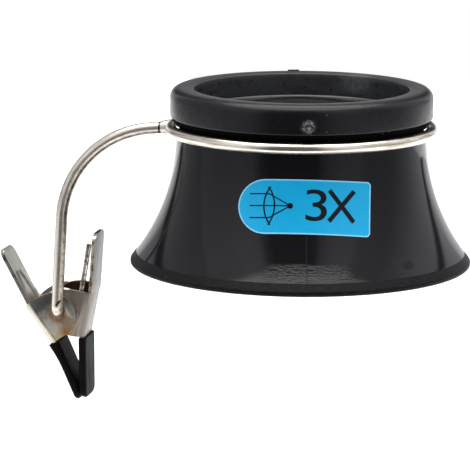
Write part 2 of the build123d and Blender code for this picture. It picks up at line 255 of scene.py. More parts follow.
def give(node, values):
    """Gives each named or numbered input of a node a value, a hex colour or a link from another node."""
    for name, value in values.items():
        if isinstance(value, bpy.types.NodeSocket):
            node.id_data.links.new(value, node.inputs[name])
        else:
            node.inputs[name].default_value = linear(value) if isinstance(value, str) else value


def add(tree, kind, values, output=0, **settings):
    """Adds a node with its inputs' values or links and its settings, and hands back one of its outputs."""
    made = tree.nodes.new("ShaderNode" + kind)
    for name, value in settings.items():
        setattr(made, name, value)
    give(made, values)
    return made.outputs[output]


def finish(name, **values):
    """A new material whose shader has these plain values; gives the material, its tree and its shader."""
    made = bpy.data.materials.new(name)
    made.use_nodes = True
    shader = made.node_tree.nodes["Principled BSDF"]
    give(shader, {key.replace("_", " "): value for key, value in values.items()})
    return made, made.node_tree, shader


flare_rise, flare_run = SHOULDER_HEIGHT - CREASE_HEIGHT, CREASE_RADIUS - NECK_RADIUS
FLARE_RADIUS = (flare_rise ** 2 + flare_run ** 2) / (2 * flare_run)


def flare(height, inward=0.0):
    """Radius of the flare at a height above the eye end, or of its inner wall."""
    curve = math.sqrt((FLARE_RADIUS + inward) ** 2 - (SHOULDER_HEIGHT - height) ** 2)
    return NECK_RADIUS + FLARE_RADIUS - curve


def stepped(low, high, steps):
    """Even steps from one height to another, both ends with them."""
    return [low + (high - low) * step / steps for step in range(steps + 1)]


notch = RETAINER_WIRE / 2 + NOTCH_PLAY
notch_half = math.sqrt(notch ** 2 - (BORE_RADIUS - RETAINER_RADIUS) ** 2)
collar_outline = rounded(
    [
        (NECK_RADIUS, SHOULDER_HEIGHT - 4 * EDGE_ROUND), (NECK_RADIUS, SHOULDER_HEIGHT),
        (GROOVE_RADIUS, SHOULDER_HEIGHT), (GROOVE_RADIUS, GROOVE_TOP),
        (COLLAR_RADIUS - COLLAR_SLANT, GROOVE_TOP), (COLLAR_RADIUS, COLLAR_FOOT), (COLLAR_RADIUS, COLLAR_TOP),
        (BORE_RADIUS, COLLAR_TOP - RIM_FALL), (BORE_RADIUS, RETAINER_HEIGHT + notch_half),
    ],
    [EDGE_ROUND, EDGE_ROUND, EDGE_ROUND, SLANT_ROUND, EDGE_ROUND * 4, RIM_ROUND, RIM_EASE],
)
notch_outline = [
    (RETAINER_RADIUS + notch * math.cos(angle), RETAINER_HEIGHT + notch * math.sin(angle))
    for angle in [math.asin(notch_half / notch) * share / 5 for share in range(4, -5, -1)]
]
seat_outline = [
    (BORE_RADIUS, RETAINER_HEIGHT - notch_half), (BORE_RADIUS, SEAT_HEIGHT), (APERTURE_RADIUS, SEAT_HEIGHT),
    (APERTURE_RADIUS, LEDGE_HEIGHT + LEDGE_WALL),
]
lip_outline = rounded(
    [(LIP_RADIUS - LIP_FACE, 0.0), (LIP_RADIUS, 0.0), (LIP_RADIUS, LIP_EDGE), (CREASE_RADIUS, CREASE_HEIGHT)],
    [LIP_ROUND * 0.7, LIP_ROUND],
    10,
)
flare_heights = stepped(CREASE_HEIGHT + LIP_RISE, SHOULDER_HEIGHT - EDGE_ROUND, 36)
cup_outline = [(flare(height), height) for height in flare_heights[:-1]]
cup_outline += [tuple(point) for point in collar_outline[1:]] + notch_outline + seat_outline
cup_outline += [(flare(height, WALL), height) for height in stepped(LEDGE_HEIGHT, INNER_FOOT, 24)]
cup_outline += [(LIP_INSIDE, LIP_RISE)] + [tuple(point) for point in lip_outline] + cup_outline[:1]
eyecup = lathe("eyecup", cup_outline)

# The gate mark: a low round boss with a torn face
gate_place = on_axis(GATE_HEIGHT) + outward(GATE_AZIMUTH) * COLLAR_RADIUS
bpy.ops.mesh.primitive_uv_sphere_add(
    segments=28, ring_count=14, radius=GATE_RADIUS, scale=GATE_SQUASH, location=gate_place,
    rotation=outward(GATE_AZIMUTH).to_track_quat("Z", "Y").to_euler(),
)
gate_mark = bpy.context.object
open_whole()
bpy.ops.transform.vertex_random(offset=GATE_TORN, seed=4)
bpy.ops.object.mode_set(mode="OBJECT")

# A sliver of flash that the mould left on the far side of the rim
bpy.ops.mesh.primitive_cube_add(
    size=1, rotation=(0, 0, FLASH_AZIMUTH), scale=FLASH,
    location=on_axis(COLLAR_TOP) + outward(FLASH_AZIMUTH) * (COLLAR_RADIUS - RIM_ROUND + FLASH_OUT),
)
flash = bpy.context.object
bpy.ops.object.transform_apply()
modified("BEVEL", width=FLASH_EASE, segments=2)
choose(gate_mark, flash, eyecup)
bpy.ops.object.join()
bpy.ops.object.transform_apply()


def band(tree, value, middle, reach, fade):
    """A share that is one within reach of a middle value and fades to nothing past it."""
    off = add(tree, "Math", {0: value, 1: middle}, operation="SUBTRACT")
    off = add(tree, "Math", {0: off}, operation="ABSOLUTE")
    return add(tree, "MapRange", {0: off, 1: reach, 2: reach + fade, 3: 1.0, 4: 0.0})


def about_axis(tree):
    """A point's place, that place from the foot of the optical axis, its turn about it and its height."""
    place = add(tree, "TexCoord", {}, "Object")
    from_axis = add(tree, "VectorMath", {0: place, 1: on_axis(0.0)}, operation="SUBTRACT")
    x, y, height = add(tree, "SeparateXYZ", {0: from_axis}).node.outputs
    return place, from_axis, add(tree, "Math", {0: y, 1: x}, operation="ARCTAN2"), height


def grain(tree, turn, height, radius, length, rise, **noise):
    """Noise on the cup's wall at a radius, whose grains have a length round the wall and a rise up it."""
    round_wall = add(tree, "Math", {0: turn, 1: radius / length}, operation="MULTIPLY")
    up_wall = add(tree, "Math", {0: height, 1: 1 / rise}, operation="MULTIPLY")
    on_wall = add(tree, "CombineXYZ", {0: round_wall, 1: up_wall})
    return add(tree, "TexNoise", {"Vector": on_wall, "Scale": 1.0, **noise})


def specks(tree, place, cells, edge, core, left_out):
    """Dust in so many cells a metre, a speck in each, soft from core to edge; a share is left out."""
    dust = add(tree, "TexVoronoi", {"Vector": place, "Scale": cells}, "Distance")
    speck = add(tree, "MapRange", {0: dust, 1: edge, 2: core})
    chosen = add(tree, "SeparateXYZ", {0: dust.node.outputs["Color"]})
    chosen = add(tree, "Math", {0: chosen, 1: left_out}, operation="GREATER_THAN")
    return add(tree, "Math", {0: speck, 1: chosen}, operation="MULTIPLY")


# Phenolic is hard, deep black and takes the mould's polish: sharp dark reflections on the flare, satin
# ones on the collar, pale torn resin at the gate, dust in the bore, and painted light on the bore and the
# rim's top. Scuffs are about 0.9 mm long, and the polish has waves of about 6 mm.
SCUFFS = 1100.0
WAVES = 160.0
RIPPLE_RADIUS = 0.018
RIPPLE_HEIGHT = 0.00225
LINE_TOP = (0.0056, 0.0064)
SATIN_FOOT = (0.0158, 0.0168)
BORE_EDGE = (0.0141, 0.0150)
RIM_HEIGHTS = (0.0201, 0.0208)
SMEAR_HEIGHT = 0.0202
SMEAR_AZIMUTH = math.radians(68)
TORN = 2200.0
TORN_REACH = (0.00060, 0.00100)
TORN_RING = 0.00056
CHIP_DROP = 0.00012
CHIP = (0.00022, 0.00034)
STAIN_AZIMUTH = math.radians(-39)
STAIN_HEIGHT = 0.0026
RELIEF = 0.00002
black_plastic, tree, shader = finish("black moulded phenolic", Specular_IOR_Level=0.3)
place, from_axis, turn, height = about_axis(tree)
collar_share = add(tree, "MapRange", {0: height, 1: SATIN_FOOT[0], 2: SATIN_FOOT[1]})
scuffs = add(tree, "TexNoise", {"Vector": place, "Scale": SCUFFS, "Detail": 6.0, "Roughness": 0.7})
waves = add(tree, "TexNoise", {"Vector": place, "Scale": WAVES, "Detail": 2.0})

# Ripples where the resin froze at the lip, about 0.7 mm long and 0.2 mm apart
ripples = grain(tree, turn, height, RIPPLE_RADIUS, length=0.0007, rise=0.0002, Detail=2.0, Distortion=0.6)
ripple_low = band(tree, height, RIPPLE_HEIGHT, reach=0.0006, fade=0.0006)
ripple_front = band(tree, turn, math.radians(-77), reach=math.radians(13), fade=math.radians(4))
ripple_side = band(tree, turn, math.radians(-40), reach=math.radians(5), fade=math.radians(3))
ripple_turn = add(tree, "Math", {0: ripple_front, 1: ripple_side}, operation="MAXIMUM")
for share in (ripple_turn, ripple_low):
    ripples = add(tree, "Math", {0: ripples, 1: share}, operation="MULTIPLY")

# The parting line, a hair-fine ridge that was wiped away higher up
line = band(tree, turn, FRONT_AZIMUTH, reach=0.0010, fade=0.0022)
line_reach = add(tree, "MapRange", {0: height, 1: LINE_TOP[0], 2: LINE_TOP[1], 3: 1.0, 4: 0.12})
line = add(tree, "Math", {0: line, 1: line_reach}, operation="MULTIPLY")

# Dust specks of about 0.1 mm, most of them on the collar
few = add(tree, "MapRange", {0: collar_share, 3: 0.95, 4: 0.80})
speck = specks(tree, place, cells=1000.0, edge=0.075, core=0.035, left_out=few)

# A fine dust in the bore and on the rim, with painted light that lightens both, most of all the rim's top
radius = add(tree, "VectorMath", {0: from_axis, 1: (1, 1, 0)}, operation="MULTIPLY")
radius = add(tree, "VectorMath", {0: radius}, "Value", operation="LENGTH")
dust_haze_and_sheen = add(tree, "MapRange", {0: radius, 1: BORE_EDGE[0], 2: BORE_EDGE[1], 3: 1.0, 4: 0.0})
cloud = add(tree, "MapRange", {0: scuffs, 1: 0.2, 2: 0.8, 3: 0.45, 4: 0.58})
on_top = add(tree, "MapRange", {0: height, 1: RIM_HEIGHTS[0], 2: RIM_HEIGHTS[1], 3: 1.0, 4: 2.6})
for share in (collar_share, cloud, on_top):
    dust_haze_and_sheen = add(tree, "Math", {0: dust_haze_and_sheen, 1: share}, operation="MULTIPLY")

# Scuffs down the bore at the back right, about 0.3 mm wide and 1.2 mm long
smears = grain(tree, turn, height, BORE_RADIUS, length=0.0003, rise=0.0012, Detail=6.0, Roughness=0.8)
smears = add(tree, "MapRange", {0: smears, 1: 0.38, 2: 0.78})
smear_turn = band(tree, turn, SMEAR_AZIMUTH, reach=math.radians(3), fade=math.radians(9))
smear_height = band(tree, height, SMEAR_HEIGHT, reach=0.0009, fade=0.0008)
for share in (smear_turn, smear_height):
    smears = add(tree, "Math", {0: smears, 1: share}, operation="MULTIPLY")

# The gate's torn face: pale flakes in a ring, hair cracks, and a chip below its middle
from_gate = add(tree, "VectorMath", {0: place, 1: gate_place}, "Value", operation="DISTANCE")
gate_share = add(tree, "MapRange", {0: from_gate, 1: TORN_REACH[0], 2: TORN_REACH[1], 3: 0.85, 4: 0.0})
torn = add(tree, "TexNoise", {"Vector": place, "Scale": TORN, "Detail": 3.0, "Distortion": 3.0})
flakes = add(tree, "MapRange", {0: torn, 1: 0.50, 2: 0.58})
gate_ring = band(tree, from_gate, TORN_RING, reach=0.00006, fade=0.00016)
flakes = add(tree, "Math", {0: flakes, 1: gate_ring}, operation="MULTIPLY")
hair = band(tree, torn, 0.46, reach=0.008, fade=0.012)
flakes = add(tree, "Math", {0: flakes, 1: hair}, operation="MAXIMUM")
flakes = add(tree, "Math", {0: flakes, 1: gate_share}, operation="MULTIPLY")
chip_place = gate_place - Vector((0, 0, CHIP_DROP))
from_chip = add(tree, "VectorMath", {0: place, 1: chip_place}, "Value", operation="DISTANCE")
chip = add(tree, "MapRange", {0: from_chip, 1: CHIP[0], 2: CHIP[1], 3: 1.0, 4: 0.0})
flakes = add(tree, "Math", {0: chip, 1: flakes}, operation="MAXIMUM", use_clamp=True)

# Specks, the bore's dust with its painted light, smears and flakes whiten the black and make it rougher,
# and a stain low at the right dulls the flare
grey = add(tree, "Math", {0: speck, 1: 0.35}, operation="MULTIPLY")
for mark, white in ((dust_haze_and_sheen, 0.07), (smears, 0.22), (flakes, 0.85)):
    grey = add(tree, "Math", {0: mark, 1: white, 2: grey}, operation="MULTIPLY_ADD", use_clamp=True)
tone = add(tree, "Mix", {0: waves, 6: "0B0B0D", 7: "101013"}, 2, data_type="RGBA")
colour = add(tree, "Mix", {0: grey, 6: tone, 7: "B4B6BA"}, 2, data_type="RGBA")
gloss = add(tree, "MapRange", {0: scuffs, 1: 0.3, 2: 0.8, 3: 0.05, 4: 0.11})
satin = add(tree, "MapRange", {0: scuffs, 1: 0.3, 2: 0.8, 3: 0.22, 4: 0.36})
surface = add(tree, "Mix", {0: collar_share, 2: gloss, 3: satin})
surface = add(tree, "Math", {0: grey, 1: 0.5, 2: surface}, operation="MULTIPLY_ADD", use_clamp=True)
stain_turn = band(tree, turn, STAIN_AZIMUTH, reach=math.radians(1.6), fade=math.radians(1.5))
stain_height = band(tree, height, STAIN_HEIGHT, reach=0.0003, fade=0.0003)
stain = add(tree, "Math", {0: stain_turn, 1: stain_height, 2: scuffs}, operation="MULTIPLY_ADD")
stain = add(tree, "MapRange", {0: stain, 1: 0.9, 2: 1.1, 4: 0.7})
surface = add(tree, "Math", {0: surface, 1: stain}, operation="ADD", use_clamp=True)
relief = add(tree, "Math", {0: waves, 1: 0.8, 2: line}, operation="MULTIPLY_ADD")
for mark, depth in ((scuffs, 0.10), (ripples, 1.4), (flakes, 1.0)):
    relief = add(tree, "Math", {0: mark, 1: depth, 2: relief}, operation="MULTIPLY_ADD")
bump = add(tree, "Bump", {"Height": relief, "Strength": 1.0, "Distance": RELIEF})
give(shader, {"Base Color": colour, "Roughness": surface, "Normal": bump})

# The groove and the inside of the cup below the lens are dead black and nearly unreflecting: painted shade
# of these recesses, with specks of dust
groove_and_inside_shade, tree, shader = finish(
    "dusty phenolic of the groove and the inside", Roughness=0.8, Specular_IOR_Level=0.02
)
place = add(tree, "TexCoord", {}, "Object")
speck = specks(tree, place, cells=1600.0, edge=0.11, core=0.05, left_out=0.8)
colour = add(tree, "Mix", {0: speck, 6: "080808", 7: "7C7E80"}, 2, data_type="RGBA")
give(shader, {"Base Color": colour})

# The lip is matt and scuffed in streaks round it, 0.9 mm long and 0.09 mm apart, with whitish specks
lip_black, tree, shader = finish("scuffed matt phenolic of the lip", Specular_IOR_Level=0.1)
place, _, turn, height = about_axis(tree)
streaks = grain(tree, turn, height, LIP_RADIUS, length=0.0009, rise=0.00009, Detail=5.0, Roughness=0.7)
pale = add(tree, "MapRange", {0: streaks, 1: 0.45, 2: 0.80, 4: 0.07})
speck = specks(tree, place, cells=1500.0, edge=0.10, core=0.05, left_out=0.88)
pale = add(tree, "Math", {0: speck, 1: 0.6, 2: pale}, operation="MULTIPLY_ADD", use_clamp=True)
colour = add(tree, "Mix", {0: pale, 6: "09090A", 7: "9A9C9E"}, 2, data_type="RGBA")
rough = add(tree, "MapRange", {0: streaks, 1: 0.3, 2: 0.7, 3: 0.35, 4: 0.6})
bump = add(tree, "Bump", {"Height": streaks, "Strength": 0.6, "Distance": RELIEF})
give(shader, {"Base Color": colour, "Roughness": rough, "Normal": bump})
coat(eyecup, black_plastic, groove_and_inside_shade, lip_black)

INSIDE_FOOT = 0.0008
FOOT_BORDER = 0.00025
BORE_BORDER = 0.0004


def polar(place):
    """Radius about the optical axis and height above the eye end."""
    return math.hypot(place.x - RING_CENTRE.x, place.y - RING_CENTRE.y), place.z - EYE_END


def in_groove(place, facing):
    """Whether a face lies in the groove, under the collar, or inside the cup below the lens."""
    radius, height = polar(place)
    if radius > BORE_RADIUS + BORE_BORDER and SHOULDER_HEIGHT < height < COLLAR_FOOT - FOOT_BORDER:
        return True
    return INSIDE_FOOT < height < SEAT_HEIGHT - EDGE_ROUND and radius < flare(height) - WALL / 2


def on_the_lip(place, facing):
    """Whether a face lies below the crease, on the outside."""
    radius, height = polar(place)
    return height < CREASE_HEIGHT and radius > LIP_INSIDE


coat_part(eyecup, 1, in_groove)
coat_part(eyecup, 2, on_the_lip)
settle(eyecup, "loupe", ["loupe_body"])


# The lens is a plano-convex disc of crown glass, ground and polished, that lies flat side down on the
# ledge of the bore.
LENS_RADIUS = 0.0125
LENS_EDGE = 0.00155
LENS_CURVE = 0.0420
LENS_FLAT = (0.0002, 0.0060)
DOME_STEPS = 24
dome_centre = SEAT_HEIGHT + LENS_EDGE - math.sqrt(LENS_CURVE ** 2 - LENS_RADIUS ** 2)
lens_outline = [(radius, SEAT_HEIGHT) for radius in (*LENS_FLAT, LENS_RADIUS - EDGE_ROUND)]
lens_outline += [(LENS_RADIUS, SEAT_HEIGHT + EDGE_ROUND)]
for step in range(DOME_STEPS):
    radius = LENS_RADIUS * math.cos(step * math.pi / (2 * DOME_STEPS))
    lens_outline.append((radius, dome_centre + math.sqrt(LENS_CURVE ** 2 - radius ** 2)))
glass_disc = lathe("glass_disc", lens_outline, closed=False, steps=128)
# Crown glass is clear with a trace of green, and its polish gives one smooth reflection
crown_glass = finish(
    "polished crown glass", Base_Color="F4FAF8", Roughness=0.0, IOR=1.52, Transmission_Weight=1.0
)[0]
coat(glass_disc, crown_glass)
settle(glass_disc, "loupe", ["lens"])


# The lens retainer is a split ring of hard spring wire. Its ends are pinched together to pass the rim,
# and it springs out into a notch of the bore, close above the edge of the lens.
SPLIT = math.radians(14)
SPLIT_MIDDLE = math.radians(-78.5)
RETAINER_STEPS = 160


def wire(name, points, radius, sides):
    """A round wire along a chain of points, with its lengthwise and round-about places as its UV map."""
    deselect()
    bpy.ops.curve.primitive_nurbs_path_add()
    made = bpy.context.object
    made.name = name
    made.location = (0, 0, 0)
    path = made.data
    path.splines.clear()
    spline = path.splines.new("POLY")
    spline.points.add(len(points) - 1)
    for point, here in zip(spline.points, points):
        point.co = (*here, 1)
    path.dimensions = "3D"
    path.twist_mode = "MINIMUM"
    path.bevel_depth = radius
    path.bevel_resolution = sides // 4 - 1
    path.use_fill_caps = True
    bpy.ops.object.convert(target="MESH")
    open_whole()
    bpy.ops.mesh.remove_doubles(threshold=1e-7)
    bpy.ops.mesh.normals_make_consistent(inside=False)
    bpy.ops.object.mode_set(mode="OBJECT")
    return made


retainer_points = []
for step in range(RETAINER_STEPS + 1):
    azimuth = SPLIT_MIDDLE + SPLIT / 2 + (math.tau - SPLIT) * step / RETAINER_STEPS
    x, y = RETAINER_RADIUS * math.cos(azimuth), RETAINER_RADIUS * math.sin(azimuth)
    retainer_points.append(Vector((RING_CENTRE.x + x, RING_CENTRE.y + y, EYE_END + RETAINER_HEIGHT)))
snap_ring = wire("snap_ring", retainer_points, RETAINER_WIRE / 2, 16)
# Oil-blackened wire gives a soft grey gleam along its round back, worn in patches of about 0.7 mm
black_wire, tree, shader = finish("oil-blackened spring wire", Metallic=1.0)
place = add(tree, "TexCoord", {}, "Object")
worn = add(tree, "TexNoise", {"Vector": place, "Scale": 1500.0, "Detail": 4.0})
colour = add(tree, "Mix", {0: worn, 6: "3A3938", 7: "6E6C6A"}, 2, data_type="RGBA")
rough = add(tree, "MapRange", {0: worn, 1: 0.3, 2: 0.7, 3: 0.3, 4: 0.5})
give(shader, {"Base Color": colour, "Roughness": rough})
coat(snap_ring, black_wire)
settle(snap_ring, "loupe", ["lens_retainer"])


# The label is a sticker of printed film with one round end, pressed round the flare. Its print is a
# magnification mark and a small drawing of a lens that brings three rays to a point.
LABEL_AZIMUTH = math.radians(-78.5)
LABEL_RISE = 0.0095
LABEL_LENGTH = 0.0149
LABEL_HEIGHT = 0.00595
LABEL_CORNER = 0.00045
LABEL_DROOP = 0.00045
LABEL_TILT = math.radians(-1.2)
FILM = 0.0001
FILM_EDGE = 0.00014
FILM_RULING = 0.0006
INK = 0.00001
INK_RULING = 0.0004


def press_on(flat, lift, most):
    """Rules a flat drawing fine, lets it droop and tilt as the label does, and presses it on the flare."""
    choose(flat)
    bpy.ops.object.transform_apply()
    bpy.ops.object.mode_set(mode="EDIT")
    for direction, reach in (((1, 0, 0), LABEL_LENGTH / 2), ((0, 1, 0), LABEL_HEIGHT / 2)):
        for step in range(1, round(2 * reach / most)):
            bpy.ops.mesh.select_all(action="SELECT")
            bpy.ops.mesh.bisect(plane_co=Vector(direction) * (step * most - reach), plane_no=direction)
    bpy.ops.object.mode_set(mode="OBJECT")
    for vertex in flat.data.vertices:
        vertex.co.y -= LABEL_DROOP * (2 * vertex.co.x / LABEL_LENGTH) ** 2
    flat.rotation_euler = (0, 0, LABEL_TILT)
    bpy.ops.object.transform_apply()
    flat.rotation_euler = (math.pi / 2, 0, LABEL_AZIMUTH + math.pi / 2)
    flat.location = on_axis(LABEL_RISE) + outward(LABEL_AZIMUTH) * LIP_RADIUS
    modified(
        "SHRINKWRAP", wrap_method="PROJECT", use_project_z=True, use_positive_direction=False,
        use_negative_direction=True, target=eyecup, offset=lift,
    )


def plate(length, height, centre=(0, 0), turn=0.0):
    """A flat bar of a drawing."""
    deselect()
    bpy.ops.mesh.primitive_plane_add(size=1, location=(*centre, 0), rotation=(0, 0, turn))
    made = bpy.context.object
    made.scale = (length, height, 1)
    bpy.ops.object.transform_apply()
    return made


film = plate(LABEL_LENGTH, LABEL_HEIGHT)
film.name = "film"
for side, radius, segments in ((-1, LABEL_HEIGHT / 2 - 1e-6, 24), (1, LABEL_CORNER, 6)):
    only(film, "VERT", lambda place: place.x * side > LABEL_LENGTH / 2 - 1e-6)
    bpy.ops.mesh.bevel(offset=radius, segments=segments, affect="VERTICES", offset_type="OFFSET")
    bpy.ops.object.mode_set(mode="OBJECT")
# Gloss-laminated film is even and saturated, with a pale border and mottled by wear every 0.7 mm or so
film_blue, tree, shader = finish("printed blue film", Roughness=0.35, IOR=1.49, Specular_IOR_Level=0.3)
place = add(tree, "TexCoord", {}, "Object")
mottle = add(tree, "TexNoise", {"Vector": place, "Scale": 1400.0, "Detail": 5.0, "Roughness": 0.7})
colour = add(tree, "Mix", {0: mottle, 6: "089CD0", 7: "16AEE0"}, 2, data_type="RGBA")
give(shader, {"Base Color": colour})
film_edge = finish("worn pale edge of the film", Base_Color="84D0F0", Roughness=0.5)[0]
coat(film, film_blue, film_edge)
open_whole()
bpy.ops.mesh.select_mode(type="FACE")
bpy.ops.mesh.inset(thickness=FILM_EDGE)
bpy.ops.mesh.select_all(action="INVERT")
film.active_material_index = 1
bpy.ops.object.material_slot_assign()
bpy.ops.object.mode_set(mode="OBJECT")
press_on(film, FILM, FILM_RULING)
modified("SOLIDIFY", thickness=FILM, offset=-1, material_offset_rim=1)
settle(film, "loupe", ["magnification_label"], 60)

DIGIT_HEIGHT = 0.00345
DIGIT_WIDTH = 0.00240
DIGIT_PLACE = (0.00128, 0.00019)
CROSS_STROKE = 0.00050
CROSS_LENGTH = 0.00440
CROSS_PLACE = (0.00414, 0.00019)
CROSS_TURN = math.radians(50)
LENS_PLACE = (-0.00400, 0.00006)
LENS_DRAWN_HEIGHT = 0.0041
LENS_DRAWN_WIDTH = 0.00135
PEN = 0.00017
RAY_PEN = PEN * 0.8
RAY_START = -0.00615
RAY_SPACING = 0.0013
FOCUS = -0.00165
FOCUS_DOT = 0.00032
deselect()
bpy.ops.object.text_add(location=(0, 0, 0))
digit = bpy.context.object
digit.data.body = "3"
digit.data.align_x = "CENTER"
digit.data.align_y = "CENTER"
bpy.ops.object.convert(target="MESH")
low = [min(vertex.co[axis] for vertex in digit.data.vertices) for axis in (0, 1)]
high = [max(vertex.co[axis] for vertex in digit.data.vertices) for axis in (0, 1)]
digit.scale = (DIGIT_WIDTH / (high[0] - low[0]), DIGIT_HEIGHT / (high[1] - low[1]), 1)
digit.location = (
    DIGIT_PLACE[0] - digit.scale.x * (high[0] + low[0]) / 2,
    DIGIT_PLACE[1] - digit.scale.y * (high[1] + low[1]) / 2,
    0,
)
marks = [digit]
marks += [plate(CROSS_LENGTH, CROSS_STROKE, CROSS_PLACE, turn) for turn in (CROSS_TURN, math.pi - CROSS_TURN)]
half_height, half_width = LENS_DRAWN_HEIGHT / 2, LENS_DRAWN_WIDTH / 2
lens_arc = (half_height ** 2 + half_width ** 2) / (2 * half_width)
thinner = (lens_arc - PEN) / lens_arc
for side in (-1, 1):
    deselect()
    centre = (LENS_PLACE[0] - side * (lens_arc - half_width), LENS_PLACE[1], 0)
    bpy.ops.mesh.primitive_circle_add(vertices=256, radius=lens_arc, location=centre)
    marks.append(bpy.context.object)
    bpy.ops.object.transform_apply()
    open_whole()
    bpy.ops.mesh.bisect(plane_co=(LENS_PLACE[0], 0, 0), plane_no=(side, 0, 0), clear_inner=True)
    bpy.ops.mesh.select_all(action="SELECT")
    bpy.ops.mesh.extrude_edges_move()
    bpy.ops.transform.resize(value=(thinner, thinner, 1), center_override=centre)
    bpy.ops.object.mode_set(mode="OBJECT")
focus = Vector((FOCUS, LENS_PLACE[1]))
for rise in (-RAY_SPACING, 0.0, RAY_SPACING):
    start, bend = Vector((RAY_START, LENS_PLACE[1] + rise)), Vector((LENS_PLACE[0], LENS_PLACE[1] + rise))
    for one, two in ((start, bend), (bend, focus)):
        span, middle = two - one, (one + two) / 2
        marks.append(plate(span.length + PEN / 2, RAY_PEN, middle, math.atan2(span.y, span.x)))
deselect()
bpy.ops.mesh.primitive_circle_add(
    vertices=32, radius=FOCUS_DOT, fill_type="NGON", location=(FOCUS, LENS_PLACE[1], 0)
)
marks.append(bpy.context.object)
print_marks = choose(*marks)
bpy.ops.object.join()
print_marks.name = "label_print"
# The ink dries matt and nearly black on the blue
ink = finish("dark blue printing ink", Base_Color="060B12", Roughness=0.5, Specular_IOR_Level=0.2)[0]
coat(print_marks, ink)
press_on(print_marks, FILM + INK, INK_RULING)
settle(print_marks, "loupe", (), 60)


# The ring is a closed loop of nickel-plated steel wire that sits loose in the eyecup's groove, so that
# the cup can turn in it.
RING_RADIUS = 0.01525
RING_WIRE = 0.0013
WEAR_LENGTH = 0.0045
WEAR_WIDTH = 0.0006
deselect()
bpy.ops.mesh.primitive_torus_add(
    major_radius=RING_RADIUS, minor_radius=RING_WIRE / 2, major_segments=256, minor_segments=32,
    location=RING_CENTRE,
)
ring = bpy.context.object
ring.name = "ring"


def plated(name, length, around, tarnish, smooth, rough):
    """Nickel plate on drawn wire, worn in streaks along it; the UV map spans its length and its girth."""
    made, tree, shader = finish(name, Metallic=1.0)
    uv = add(tree, "TexCoord", {}, "UV")
    wears = (length / WEAR_LENGTH, around / WEAR_WIDTH, 1)
    drawn = add(tree, "VectorMath", {0: uv, 1: wears}, operation="MULTIPLY")
    streaks = add(tree, "TexNoise", {"Vector": drawn, "Scale": 1.0, "Detail": 5.0, "Roughness": 0.7})
    worn = add(tree, "MapRange", {0: streaks, 1: 0.50, 2: 0.70})
    colour = add(tree, "Mix", {0: worn, 6: "E6DDCF", 7: tarnish}, 2, data_type="RGBA")
    surface = add(tree, "MapRange", {0: streaks, 1: 0.35, 2: 0.7, 3: smooth, 4: rough})
    bump = add(tree, "Bump", {"Height": streaks, "Strength": 0.5, "Distance": RELIEF})
    give(shader, {"Base Color": colour, "Roughness": surface, "Normal": bump})
    return made, tree, shader, colour, uv


coat(ring, plated(
    "nickel-plated ring wire", math.tau * RING_RADIUS, math.pi * RING_WIRE,
    tarnish="B4A694", smooth=0.10, rough=0.30,
)[0])
settle(ring, "arm", ["wire_ring"])


# The arm is a length of the same plated wire, bent once in a wide curve. Its lower end is bent square
# to be the clip's pivot pin, and is hammered to a head behind the rear ear.
ARM_WIRE = 0.0014
ARM_BEND = 0.0120
PIN_BEND = 0.00085
ARM_SLOPE = math.radians(6)
ARM_LEAN = math.radians(3.2)
ARM_ROOT = Vector((-0.01596, 0, -0.0004))
HEAD_RADIUS = 0.00105
HEAD_THICKNESS = 0.0005
HEAD_EASE = 0.0002
OUTER_EAR = 0.0036
HEAD_PLAY = 0.00012
TARNISH_AND_SHADE_MIDDLE = 0.74
RESIDUE = 0.00095
NICK_PLACE = PIN + Vector((0.00032, -0.0052 - PIN.y, 0.00127))
NICK_SIZE = (0.00055, 0.0006, 0.00016)
NICK_TURN = math.radians(-50)
root = RING_CENTRE + ARM_ROOT
foot = Vector((PIN.x, RING_CENTRE.y, PIN.z))
across, rise = root.x - foot.x, root.z - foot.z
upright = (rise * math.cos(ARM_SLOPE) - across * math.sin(ARM_SLOPE)) / math.cos(ARM_LEAN + ARM_SLOPE)
corner = foot + Vector((math.sin(ARM_LEAN), 0, math.cos(ARM_LEAN))) * upright
pin_end = Vector((PIN.x, OUTER_EAR + HEAD_PLAY + HEAD_THICKNESS / 2, PIN.z))
arm_route = rounded([root, corner, foot, pin_end], [ARM_BEND, PIN_BEND], 40)
arm = wire("arm", arm_route, ARM_WIRE / 2, 32)
deselect()
bpy.ops.mesh.primitive_cylinder_add(
    vertices=48, radius=HEAD_RADIUS, depth=HEAD_THICKNESS, rotation=(math.pi / 2, 0, 0), location=pin_end
)
head = bpy.context.object
modified("BEVEL", width=HEAD_EASE, segments=4)
choose(head, arm)
bpy.ops.object.join()
arm_length = sum((two - one).length for one, two in zip(arm_route, arm_route[1:]))
# The plate is darker and brown, in mottles of about 0.6 mm, down the side where the wire faces the eyecup:
# tarnish with painted shade of the black cup. It has gone brown by the solder, and it is nicked at the bend
arm_plate, tree, shader, colour, uv = plated(
    "nickel-plated arm wire", arm_length, math.pi * ARM_WIRE, tarnish="8A7C6E", smooth=0.2, rough=0.42
)
around = add(tree, "SeparateXYZ", {0: uv}, 1)
